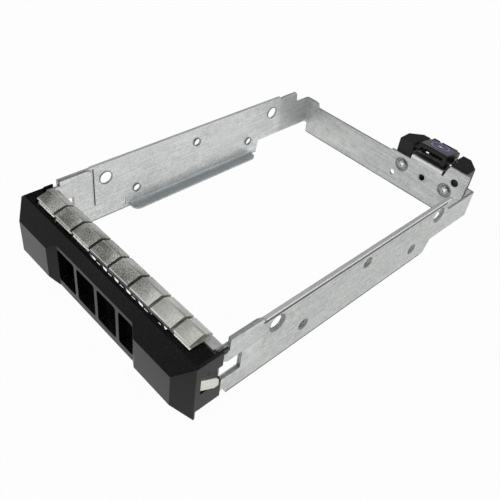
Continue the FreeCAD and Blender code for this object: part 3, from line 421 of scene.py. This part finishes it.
def finish_ink(name, tone, marks):
    """Slightly uneven print, with marks at given places."""
    material, tree, shader, coords = new_material(name)
    grain = shared(tree, mould_grain, {"Vector": coords, "Scale": 3000.0})
    colour = mix_colour(tree, grain["Tone"], tone, scaled(tone, 1.5, 0.05))
    tree.links.new(paint_marks(tree, coords, colour, marks), shader.inputs["Base Color"])
    shader.inputs["Roughness"].default_value = 0.45
    bump(tree, shader, grain["Height"], strength=0.1, distance=0.03)
    return material


def inside_box(point, box):
    """Whether a point lies in a box that is given by two corners in millimetres."""
    return all(low <= value / MM <= high for value, low, high in zip(point, *box))


# How far in a ray starts and the most that sheet can be through, and how closely the normals
# of level and of upright faces follow the axis.
RAY_START, SHEET_DEPTH = 0.02 * MM, 1.6 * MM
LEVEL, UPRIGHT = 0.985, 0.3


def rim_faces(piece, folded):
    """Faces with more than the sheet behind them: its cut edges and the walls of its holes.

    A folded place is a box, in millimetres, whose faces are bent sheet and not cut."""
    shape = BVHTree.FromObject(piece, bpy.context.evaluated_depsgraph_get())
    rims = []
    for face in piece.data.polygons:
        if any(inside_box(face.center, box) for box in folded):
            continue
        inward = -face.normal
        _, _, struck, depth = shape.ray_cast(face.center + inward * RAY_START, inward)
        if struck is None or depth > SHEET_DEPTH:
            rims.append(face.index)
    return rims


def dished_faces(piece, axis, box):
    """Sloped faces of pressed hole rims, inside a box in millimetres."""
    return [face.index for face in piece.data.polygons
            if UPRIGHT < abs(face.normal[axis]) < LEVEL and inside_box(face.center, box)]


# Distance below which corners are one, angle in degrees below which faces are one, and how far
# large faces outweigh small ones in the shading.
WELD_REACH, FLAT_ANGLE, FACE_WEIGHT = 0.004 * MM, 0.6, 90


def dress(node_name, material, width, angle=28.0, segments=2, cut_edge=None, folded=(),
          dish=None, dishes=None, edge_finish=None):
    """Give a CAD node its materials, softened edges and even shading."""
    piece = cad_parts[node_name]
    piece.data.materials.clear()
    piece.data.materials.append(material)
    for face in piece.data.polygons:
        face.use_smooth = True
        face.material_index = 0
    if cut_edge:
        piece.data.materials.append(cut_edge)
        for index in rim_faces(piece, folded):
            piece.data.polygons[index].material_index = 1
    if dish:
        piece.data.materials.append(dish)
        for index in dished_faces(piece, *dishes):
            piece.data.polygons[index].material_index = 2
    weld = piece.modifiers.new("Weld", "WELD")
    weld.merge_threshold = WELD_REACH
    flat = piece.modifiers.new("Whole Faces", "DECIMATE")
    flat.decimate_type = "DISSOLVE"
    flat.angle_limit = math.radians(FLAT_ANGLE)
    flat.delimit = {"MATERIAL"}
    if width:
        edge = piece.modifiers.new("Soft Edge", "BEVEL")
        edge.width = width
        edge.segments = segments
        edge.limit_method = "ANGLE"
        edge.angle_limit = math.radians(angle)
        if edge_finish:
            piece.data.materials.append(edge_finish)
            edge.material = len(piece.data.materials) - 1
    even = piece.modifiers.new("Even Shading", "WEIGHTED_NORMAL")
    even.keep_sharp = False
    even.weight = FACE_WEIGHT
    return piece


def select_nothing():
    """Deselect every object."""
    bpy.ops.object.select_all(action="DESELECT")


def select_only(*pieces):
    """Select the given pieces, the first of them active."""
    select_nothing()
    for piece in pieces:
        piece.select_set(True)
    bpy.context.view_layer.objects.active = pieces[0]


def settle(piece):
    """Put the object's place into its mesh, so that the object stands at the origin."""
    select_only(piece)
    bpy.ops.object.transform_apply(location=True, rotation=True, scale=True)


def apply_modifier(piece, kind, name, **settings):
    """Add a modifier with its settings and apply it."""
    modifier = piece.modifiers.new(name, kind)
    for key, value in settings.items():
        setattr(modifier, key, value)
    select_only(piece)
    bpy.ops.object.modifier_apply(modifier=modifier.name)


def soften(piece, name, width, sharp):
    """Bevel the edges sharper than an angle in degrees. The width is in millimetres."""
    apply_modifier(piece, "BEVEL", name, width=width * MM, segments=2, limit_method="ANGLE",
                   angle_limit=math.radians(sharp))


DOUBLE_REACH = 0.002 * MM


def outward(piece):
    """Merge doubles and turn all faces outward."""
    select_only(piece)
    bpy.ops.object.mode_set(mode="EDIT")
    bpy.ops.mesh.select_all(action="SELECT")
    bpy.ops.mesh.remove_doubles(threshold=DOUBLE_REACH)
    bpy.ops.mesh.normals_make_consistent(inside=False)
    bpy.ops.object.mode_set(mode="OBJECT")


def smooth(piece, degrees):
    """Shade smooth, but for edges sharper than an angle."""
    select_only(piece)
    bpy.ops.object.shade_smooth_by_angle(angle=math.radians(degrees))


def join_pieces(pieces, name):
    """Join modelled pieces into one named object."""
    select_only(*pieces)
    bpy.ops.object.join()
    whole = bpy.context.object
    whole.name = whole.data.name = name
    return whole


def copy_across(piece, distance):
    """A copy, with its own mesh, moved across the caddy by a distance in millimetres."""
    select_only(piece)
    bpy.ops.object.duplicate()
    copy = bpy.context.object
    copy.location.x = distance * MM
    settle(copy)
    return copy


# Section of one finger, from the foot round the rear bend to the front tip, and the lip that
# stands below the foot's front: y and z in millimetres.
FINGER = (
    (-85.2, 27.3), (-77.2, 27.3), (-76.6, 27.45), (-76.35, 27.9), (-76.45, 28.4), (-76.9, 28.95),
    (-77.7, 29.38), (-79.1, 30.05), (-80.1, 30.52), (-80.5, 30.66), (-80.95, 30.6),
    (-82.9, 30.06), (-84.9, 29.5), (-85.6, 29.25), (-85.85, 28.95))
LIP = ((-85.6, 25.3), (-85.6, 26.95))
# Half width of the strip, place of the first gap, the fingers' pitch and the gaps' width, in
# millimetres, with the fingers counted from the left.
STRIP_HALF, FIRST_GAP, FINGER_PITCH, FINGER_GAP = 46.4, -34.0, 11.93, 1.3
FINGERS = 8
FINGER_EDGE, FINGER_SHARP, FINGER_SMOOTH = 0.06, 50.0, 24.0


def add_finger(low, high, thick, section):
    """One spring finger: an edge drawn out along its section, then given its thickness."""
    wide = (high - low) * MM
    start_y, start_z = section[0]
    select_nothing()
    bpy.ops.mesh.primitive_plane_add(
        size=wide, location=((low + high) * 0.5 * MM, start_y * MM, start_z * MM))
    finger = bpy.context.object
    settle(finger)
    bpy.ops.object.mode_set(mode="EDIT")
    bpy.ops.mesh.select_all(action="DESELECT")
    bpy.ops.object.mode_set(mode="OBJECT")
    for corner in finger.data.vertices:
        corner.select = corner.co.y < start_y * MM
    bpy.ops.object.mode_set(mode="EDIT")
    bpy.ops.mesh.delete(type="VERT")
    bpy.ops.mesh.select_all(action="SELECT")
    bpy.ops.transform.translate(value=(0.0, -wide * 0.5, 0.0))
    for (y, z), (next_y, next_z) in zip(section, section[1:]):
        bpy.ops.mesh.extrude_region_move(
            TRANSFORM_OT_translate={"value": (0.0, (next_y - y) * MM, (next_z - z) * MM)})
    bpy.ops.object.mode_set(mode="OBJECT")
    outward(finger)
    apply_modifier(finger, "SOLIDIFY", "Thickness", thickness=thick, offset=0.0,
                   use_even_offset=True)
    soften(finger, "Soft Edge", FINGER_EDGE, FINGER_SHARP)
    outward(finger)
    smooth(finger, FINGER_SMOOTH)
    return finger


def add_finger_strip(thick):
    """The row of fingers on one foot, with a lip below the first three and the last."""
    gaps = [FIRST_GAP + FINGER_PITCH * step for step in range(FINGERS - 1)]
    lows = [-STRIP_HALF] + [gap + FINGER_GAP * 0.5 for gap in gaps]
    highs = [gap - FINGER_GAP * 0.5 for gap in gaps] + [STRIP_HALF]
    first, second, last = [add_finger(lows[index], highs[index], thick, LIP + FINGER)
                           for index in (0, 1, FINGERS - 1)]
    fourth = add_finger(lows[3], highs[3], thick, FINGER)
    plain = [copy_across(fourth, FINGER_PITCH * step) for step in (1, 2, 3)]
    third = copy_across(second, FINGER_PITCH)
    return join_pieces([first, second, last, third, fourth] + plain, "spring_finger_strip")


# The rails' dished holes: y, z and radius, and how far the collar stands into the bay, in
# millimetres. They are the same in both rails.
HOLES = ((-51.5, 21.8, 2.9, 0.3), (50.1, 21.8, 2.9, 0.3), (-0.7, 21.8, 1.8, 0.6),
         (-35.6, 10.0, 1.8, 0.6), (34.6, 10.0, 1.8, 0.6))
BAY_HALF = 51.73
COLLAR_SIDES = 40
COLLAR_WALL, COLLAR_SEAT, COLLAR_LINING, COLLAR_EDGE, COLLAR_SHARP = 0.35, 0.05, 0.04, 0.12, 40.0


def add_collar(side, y, z, bore, deep):
    """A short drawn tube round a hole, from the rail's inner face into the bay."""
    length = deep + COLLAR_SEAT
    select_nothing()
    bpy.ops.mesh.primitive_cylinder_add(
        vertices=COLLAR_SIDES, radius=(bore + COLLAR_WALL) * MM, depth=length * MM,
        end_fill_type="NOTHING",
        location=(side * (BAY_HALF + COLLAR_SEAT - length * 0.5) * MM, y * MM, z * MM),
        rotation=(0.0, math.radians(90.0), 0.0))
    collar = bpy.context.object
    settle(collar)
    apply_modifier(collar, "SOLIDIFY", "Wall", thickness=(COLLAR_WALL + COLLAR_LINING) * MM,
                   offset=-1.0, use_even_offset=True)
    soften(collar, "Drawn Edge", COLLAR_EDGE, COLLAR_SHARP)
    outward(collar)
    smooth(collar, COLLAR_SHARP)
    return collar


# Marks on the sheet: a painted shade line along its foot, a painted shadow under the folded hem
# and a painted highlight on the hem's top.
RIGHT_RAIL_MARKS = (
    Mark((52.7, -15.0, 1.2), (0.5, 60.0, 0.5), 0.15, BLACK, 0.95),
    Mark((52.73, -2.2, 26.8), (0.35, 56.6, 0.62), 0.12, BLACK, 1.0),
    Mark((52.9, -2.2, 29.3), (1.4, 57.0, 0.3), 0.2, WHITE, 0.9))
# A painted shadow in the slit at the front, painted shade on the turned rear end, a painted shade
# line along the foot, a painted highlight on the hem's top and a painted reflection on the shelf.
LEFT_RAIL_MARKS = (
    Mark((-51.9, -57.6, 18.8), (0.5, 0.32, 9.6), 0.12, BLACK, 0.95),
    Mark((-51.7, 68.6, 20.0), (1.6, 11.0, 12.0), 5.0, (0.26, 0.29, 0.29), 0.45),
    Mark((-51.7, -15.0, 1.15), (0.5, 60.0, 0.35), 0.15, BLACK, 0.75),
    Mark((-52.9, -2.2, 29.3), (1.4, 57.0, 0.3), 0.2, WHITE, 0.8),
    Mark((-49.2, -1.0, 1.6), (2.6, 41.0, 1.4), 0.9, (0.42, 0.5, 0.54), 0.6))
# Painted shade under the lever, a painted highlight on the tab's bend and a painted shade line
# along the bar's foot.
CROSSBAR_MARKS = (
    Mark((26.9, 81.6, 23.4), (9.5, 1.7, 0.6), 0.9, (0.05, 0.052, 0.052), 0.9),
    Mark((26.9, 78.85, 22.85), (9.5, 0.5, 0.7), 0.35, WHITE, 0.95),
    Mark((0.0, 78.0, 2.6), (50.0, 1.2, 0.35), 0.15, BLACK, 0.7))
# Painted shade on the plate's inside, behind the bezel.
PLATE_MARKS = (
    Mark((0.0, -78.0, 12.0), (52.0, 1.9, 13.6), 0.5, (0.01, 0.01, 0.01), 0.98),)
# Tone of the fingers' painted highlights. The marks: a painted reflection that brightens the right
# end, a painted highlight on the ridge, painted shade in the crease, a painted highlight on the
# rear bend, a painted highlight on the tip and painted shade on the lip.
FINGER_HIGHLIGHT = (0.8, 0.8, 0.77)
FINGER_MARKS = (
    Mark((41.0, -83.5, 30.0), (15.0, 3.0, 3.0), 26.0, (1.0, 1.0, 0.94), 0.98),
    Mark((0.0, -80.5, 30.6), (60.0, 0.16, 1.0), 0.1, FINGER_HIGHLIGHT, 0.7),
    Mark((0.0, -79.75, 30.2), (60.0, 0.16, 1.0), 0.12, (0.09, 0.09, 0.085), 0.65),
    Mark((0.0, -77.9, 29.4), (60.0, 0.5, 1.5), 0.5, FINGER_HIGHLIGHT, 0.55),
    Mark((0.0, -85.75, 29.2), (60.0, 0.18, 1.0), 0.1, FINGER_HIGHLIGHT, 0.5),
    Mark((0.0, -85.6, 26.0), (60.0, 0.5, 1.0), 0.15, (0.01, 0.01, 0.01), 0.97))
# The bright middles of the two rivets, painted shade in the nut's bore and the paler printed dot.
RIVET_MARKS = [Mark((x, 79.0, z), (0.9, 2.0, 0.9), 0.9, (0.95, 0.97, 1.0), 0.9)
               for x, z in ((13.9, 15.7), (39.4, 14.9))]
NUT_MARKS = (
    Mark((26.3, 80.4, 14.8), (2.4, 1.3, 2.4), 0.2, (0.008, 0.008, 0.008), 0.95),)
DOT_MARKS = (
    Mark((26.75, 86.3, 30.0), (1.6, 1.4, 2.0), 0.2, (0.55, 0.6, 1.0), 1.0),)

# The rails' folded hems, and the axis across each sheet with the box that holds its pressed
# dishes: corners in millimetres.
HEM = ((-60.0, -59.0, 28.0), (60.0, 54.5, 30.0))
DISHES = {
    "left_rail": (0, ((-60.0, -60.0, 6.0), (-40.0, 55.0, 27.0))),
    "right_rail": (0, ((40.0, -60.0, 6.0), (60.0, 55.0, 27.0))),
    "crossbar": (1, ((5.0, 70.0, 8.0), (50.0, 79.0, 21.0)))}
FOLDED = {"left_rail": [HEM], "right_rail": [HEM], "crossbar": []}
SHEET_SHARP = 50.0
# How much paler the left rail and the front plate are painted, as painted light on their inner
# faces, the ones in view.
INNER_FACE_PAINTED_LIGHT = 1.42
FASTENER_EDGE, LEAF_EDGE = 0.08 * MM, 0.05 * MM


class CADDY_OT_sheet_metal(bpy.types.Operator):
    """Finish the rails, the crossbar and the front plate as galvanised sheet"""
    bl_idname = "caddy.sheet_metal"
    bl_label = "Sheet Metal"

    def execute(self, context):
        sizes, finish = context.scene.caddy_sizes, context.scene.caddy_finish
        tones = (finish.sheet_light, finish.sheet_dark)
        # Paler copies of the sheet's tones: painted light for the inner faces in view.
        painted_light_tones = [scaled(tone, INNER_FACE_PAINTED_LIGHT) for tone in tones]
        sheets = {
            "right_rail": finish_sheet("Galvanised Sheet, Right Rail", *tones, RIGHT_RAIL_MARKS),
            "left_rail": finish_sheet("Galvanised Sheet, Left Rail", *painted_light_tones, LEFT_RAIL_MARKS),
            "crossbar": finish_sheet("Galvanised Sheet, Crossbar", *tones, CROSSBAR_MARKS)}
        plate = finish_sheet("Galvanised Sheet, Front Plate", *painted_light_tones, PLATE_MARKS)
        edge = finish_worked("Cut Edge", finish.edge_tone)
        # The pressed rims take a dark tone: painted shade in the dishes.
        dish = finish_worked("Pressed Dish", finish.dish_shade_tone)
        # The rounded edges take a dark tone: painted shade.
        line = finish_worked("Edge Line", finish.edge_shade_tone)
        for name, sheet in sheets.items():
            dress(name, sheet, sizes.sheet_bevel, SHEET_SHARP, cut_edge=edge,
                  folded=FOLDED[name], dish=dish, dishes=DISHES[name], edge_finish=line)
        dress("front_plate", plate, sizes.sheet_bevel, cut_edge=edge, edge_finish=line)
        return {"FINISHED"}


class CADDY_OT_hole_collars(bpy.types.Operator):
    """Model the drawn collars behind the rails' dished holes"""
    bl_idname = "caddy.hole_collars"
    bl_label = "Hole Collars"

    def execute(self, context):
        collars = [add_collar(side, *hole) for side in (-1.0, 1.0) for hole in HOLES]
        whole = join_pieces(collars, "hole_collars")
        tone = context.scene.caddy_finish.collar_tone
        whole.data.materials.append(finish_worked("Drawn Collar", tone))
        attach(whole, "frame")
        return {"FINISHED"}


class CADDY_OT_bezel(bpy.types.Operator):
    """Finish the moulded bezel"""
    bl_idname = "caddy.bezel"
    bl_label = "Bezel"

    def execute(self, context):
        sizes, finish = context.scene.caddy_sizes, context.scene.caddy_finish
        mould = finish_moulded("Bezel Moulding", finish.bezel_tone, scale=2300.0)
        # Paler edges: a painted highlight along the bezel's edges.
        edge = finish_moulded("Bezel Edge", finish.bezel_edge_highlight_tone, scale=2300.0, rough=0.3,
                              depth=0.05, specular=0.6)
        dress("bezel", mould, sizes.moulded_bevel, segments=3, edge_finish=edge)
        return {"FINISHED"}


class CADDY_OT_finger_strip(bpy.types.Operator):
    """Model the strip of spring fingers"""
    bl_idname = "caddy.finger_strip"
    bl_label = "Finger Strip"

    def execute(self, context):
        sizes, finish = context.scene.caddy_sizes, context.scene.caddy_finish
        plating = finish_spring("Spring Finger Plating", finish.finger_tone, scale=2400.0,
                                rough=(0.28, 0.5), depth=0.5, contrast=(0.3, 1.6),
                                marks=FINGER_MARKS)
        strip = add_finger_strip(sizes.finger_thick)
        strip.data.materials.append(plating)
        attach(strip, "frame")
        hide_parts("emi_finger_strip")
        return {"FINISHED"}


class CADDY_OT_side_springs(bpy.types.Operator):
    """Finish the flared springs in the bezel's side windows"""
    bl_idname = "caddy.side_springs"
    bl_label = "Side Springs"

    def execute(self, context):
        plating = finish_spring("Side Spring Plating", context.scene.caddy_finish.leaf_tone,
                                scale=3200.0, rough=(0.3, 0.45), depth=0.12,
                                contrast=(0.85, 1.15))
        for name in ("left_side_spring", "right_side_spring"):
            dress(name, plating, LEAF_EDGE)
        return {"FINISHED"}


class CADDY_OT_latch(bpy.types.Operator):
    """Finish the latch housing, the lever, its pin and its spring"""
    bl_idname = "caddy.latch"
    bl_label = "Latch"

    def execute(self, context):
        sizes, finish = context.scene.caddy_sizes, context.scene.caddy_finish
        moulding = finish_moulded("Latch Moulding", finish.latch_tone, scale=2900.0, rough=0.32,
                                  depth=0.2, specular=0.25)
        dress("latch_housing", moulding, sizes.latch_bevel)
        dress("release_lever", moulding, sizes.latch_bevel)
        wire = finish_turned("Spring Wire", (0.62, 0.61, 0.58), rough=0.28)
        dress("lever_pin", wire, FASTENER_EDGE)
        dress("lever_spring", wire, width=0.0)
        ink = finish_ink("Printed Mark", finish.ink_tone, DOT_MARKS)
        dress("lever_ring_mark", ink, width=0.0)
        return {"FINISHED"}


class CADDY_OT_fasteners(bpy.types.Operator):
    """Finish the rivets, the clinch nut and the bezel's screws"""
    bl_idname = "caddy.fasteners"
    bl_label = "Fasteners"

    def execute(self, context):
        for name, finish, tone, marks in (
                ("latch_rivets", "Rivet Steel", (0.34, 0.35, 0.36), RIVET_MARKS),
                ("clinch_nut", "Nut Steel", (0.5, 0.51, 0.5), NUT_MARKS),
                ("bezel_screws", "Zinc Plating", (0.66, 0.67, 0.66), ())):
            dress(name, finish_turned(finish, tone, marks=marks), FASTENER_EDGE)
        return {"FINISHED"}


# Soft lights: place and width in metres, and the setting that holds each one's power. All of
# them face the caddy.
LIGHTS = (("overhead", (-0.1, 0.12, 1.1), 0.9, "key_power"),
          ("front_left", (-0.85, -1.0, 0.85), 0.42, "fill_power"),
          ("back_right", (0.95, 0.85, 0.62), 0.8, "rim_power"))
FLOOR_WIDTH = 12.0
# How much of the floor's own light, rather than its shadow, is seen.
FLOOR_LIT = 0.97
# Grey level of the surround from the horizon up to overhead: bright, dark and dim.
SKY = [(0.0, 0.95), (0.15, 0.85), (0.38, 0.26), (0.6, 0.02), (0.8, 0.2), (1.0, 0.4)]
# The picture's camera: where it looks from in degrees, its place in metres, its lens and sensor
# in millimetres, and its shift.
CAMERA_AZIMUTH, CAMERA_HEIGHT, CAMERA_ROLL = 41.451, 40.425, 8.087
CAMERA_PLACE = (0.13882, -0.17084, 0.18253)
CAMERA_LENS, CAMERA_SENSOR = 44.98, 36.0
CAMERA_SHIFT = (0.0054, -0.023)
CAMERA_NEAR = 0.01


class CADDY_OT_stage(bpy.types.Operator):
    """Set up the floor, the soft lights, the surround and the camera"""
    bl_idname = "caddy.stage"
    bl_label = "Stage"

    def execute(self, context):
        stage = context.scene.caddy_stage
        select_nothing()
        bpy.ops.mesh.primitive_plane_add(size=FLOOR_WIDTH, location=(0.0, 0.0, CAD_BOX[0].z))
        floor = context.object
        floor.name = "floor"
        floor.data.materials.append(white_floor(stage.floor_tone))
        lights = [add_light(name, spot, wide, getattr(stage, power))
                  for name, spot, wide, power in LIGHTS]
        camera = add_camera()
        add_surround(context.scene, stage.sky_level)
        context.scene.view_settings.view_transform = "Standard"
        return {"FINISHED"}


def white_floor(tone):
    """White floor that keeps a faint shadow."""
    material = bpy.data.materials.new("White Floor")
    material.use_nodes = True
    tree = material.node_tree
    tree.nodes.remove(tree.nodes["Principled BSDF"])
    plain = place(tree, "ShaderNodeBsdfDiffuse", {"Color": (tone, tone, tone, 1.0)})
    white = place(tree, "ShaderNodeEmission", {"Color": rgba(WHITE), "Strength": 1.0})
    path = tree.nodes.new("ShaderNodeLightPath").outputs
    seen = math_node(tree, "MAXIMUM", path["Is Camera Ray"], path["Is Glossy Ray"])
    seen = math_node(tree, "MAXIMUM", seen, path["Is Transmission Ray"])
    share = math_node(tree, "MULTIPLY", seen, FLOOR_LIT)
    mixed = place(tree, "ShaderNodeMixShader", {0: share, 1: plain.outputs[0],
                                                2: white.outputs[0]})
    tree.links.new(mixed.outputs[0], tree.nodes["Material Output"].inputs["Surface"])
    return material


def add_light(name, spot, wide, power):
    """A square soft light that faces the caddy."""
    select_nothing()
    bpy.ops.object.light_add(type="AREA", location=spot)
    light = bpy.context.object
    light.name = name
    light.rotation_euler = (-Vector(spot)).to_track_quat("-Z", "Y").to_euler()
    light.data.shape = "SQUARE"
    light.data.size = wide
    light.data.energy = power
    return light


def add_camera():
    """Camera at the place and angle from which the caddy is seen in the picture."""
    azimuth, height, roll = (math.radians(angle)
                             for angle in (CAMERA_AZIMUTH, CAMERA_HEIGHT, CAMERA_ROLL))
    back = Vector((math.sin(azimuth) * math.cos(height), -math.cos(azimuth) * math.cos(height),
                   math.sin(height)))
    level = Vector((0.0, 0.0, 1.0)).cross(back).normalized()
    upright = back.cross(level)
    right = level * math.cos(roll) + upright * math.sin(roll)
    up = upright * math.cos(roll) - level * math.sin(roll)
    select_nothing()
    bpy.ops.object.camera_add()
    camera = bpy.context.object
    camera.name = "camera"
    turn = Matrix((right, up, back)).transposed().to_4x4()
    camera.matrix_world = Matrix.Translation(Vector(CAMERA_PLACE)) @ turn
    camera.data.lens = CAMERA_LENS
    camera.data.sensor_width = CAMERA_SENSOR
    camera.data.sensor_fit = "HORIZONTAL"
    camera.data.shift_x, camera.data.shift_y = CAMERA_SHIFT
    camera.data.clip_start = CAMERA_NEAR
    bpy.context.scene.camera = camera
    return camera


def add_surround(scene, level):
    """Soft surround that lights the caddy, and is plain white where the camera sees it."""
    world = bpy.data.worlds.new("Soft Surround")
    scene.world = world
    world.use_nodes = True
    tree = world.node_tree
    background = tree.nodes["Background"]
    direction = tree.nodes.new("ShaderNodeTexCoord").outputs["Generated"]
    height = place(tree, "ShaderNodeSeparateXYZ", {"Vector": direction}).outputs["Z"]
    path = tree.nodes.new("ShaderNodeLightPath").outputs
    shown = mix_colour(tree, path["Is Camera Ray"], ramp(tree, height, SKY, "EASE"), WHITE)
    tree.links.new(shown, background.inputs["Color"])
    background.inputs["Strength"].default_value = level


STEPS = (CADDY_OT_sheet_metal, CADDY_OT_hole_collars, CADDY_OT_bezel, CADDY_OT_finger_strip,
         CADDY_OT_side_springs, CADDY_OT_latch, CADDY_OT_fasteners, CADDY_OT_stage)


class CADDY_PT_panel(bpy.types.Panel):
    """Steps that dress the caddy"""
    bl_label = "Drive Caddy"
    bl_idname = "CADDY_PT_panel"
    bl_space_type = "VIEW_3D"
    bl_region_type = "UI"
    bl_category = "Caddy"

    def draw(self, context):
        scene = context.scene
        for group in (scene.caddy_sizes, scene.caddy_finish, scene.caddy_stage):
            column = self.layout.column(align=True)
            for name in group.__annotations__:
                column.prop(group, name)
        for step in STEPS:
            self.layout.operator(step.bl_idname)


CLASSES = (CaddySizes, CaddyFinish, CaddyStage) + STEPS + (CADDY_PT_panel,)


def register():
    for item in CLASSES:
        bpy.utils.register_class(item)
    bpy.types.Scene.caddy_sizes = bpy.props.PointerProperty(type=CaddySizes)
    bpy.types.Scene.caddy_finish = bpy.props.PointerProperty(type=CaddyFinish)
    bpy.types.Scene.caddy_stage = bpy.props.PointerProperty(type=CaddyStage)


def unregister():
    for name in ("caddy_stage", "caddy_finish", "caddy_sizes"):
        delattr(bpy.types.Scene, name)
    for item in reversed(CLASSES):
        bpy.utils.unregister_class(item)


def main():
    """Dress the caddy step by step."""
    register()
    for step in STEPS:
        area, name = step.bl_idname.split(".")
        getattr(getattr(bpy.ops, area), name)()


if __name__ == "__main__":
    main()
